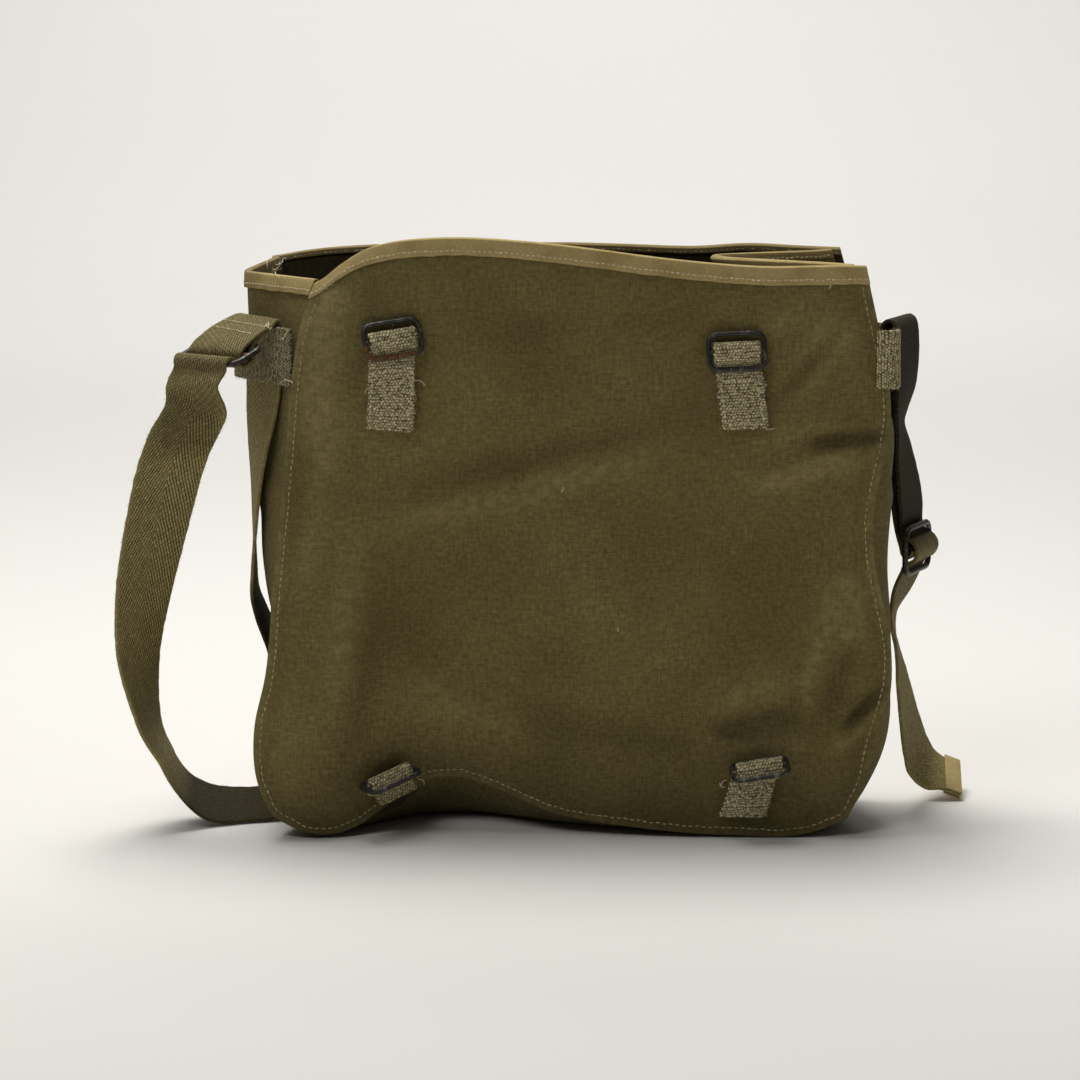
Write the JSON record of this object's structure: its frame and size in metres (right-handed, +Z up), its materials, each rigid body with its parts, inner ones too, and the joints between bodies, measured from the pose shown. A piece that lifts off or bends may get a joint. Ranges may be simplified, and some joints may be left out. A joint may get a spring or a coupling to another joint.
{
  "type": "military rucksack",
  "caption": "Soft open-topped canvas pack with taped rims, side and bottom gusset, webbing tabs with wire buckles, and webbing shoulder straps on steel slides.",
  "frame": {"origin": "on the floor under the middle of the bag, on the gusset's flat underside", "axes": "+X to the right as seen from the panel with the buckles, +Y from that panel towards the plain panel, +Z up"},
  "size_m": [0.4896, 0.1657, 0.3388],
  "materials": {
    "canvas": "plain-woven olive cotton canvas, worn",
    "tape": "tan cotton tape",
    "webbing": "coarse grey-brown cotton webbing",
    "strap": "ribbed olive cotton webbing",
    "steel": "blackened steel wire, worn, with rust spots"
  },
  "bodies": {
    "root": {"back_panel": "canvas", "front_panel": "canvas", "gusset": "canvas", "rim_tape_back": "tape", "rim_tape_front": "tape", "rim_tape_left": "tape", "rim_tape_right": "tape", "strap_tip": "tape", "tab_upper_left": "webbing", "tab_upper_right": "webbing", "tab_lower_left": "webbing", "tab_lower_right": "webbing", "keeper_left": "webbing", "keeper_right": "webbing", "strap_left": "strap", "strap_right": "strap", "buckle_upper_left": "steel", "buckle_upper_right": "steel", "buckle_lower_left": "steel", "buckle_lower_right": "steel", "slide_left": "steel", "slide_right": "steel"}
  },
  "joints": []
}
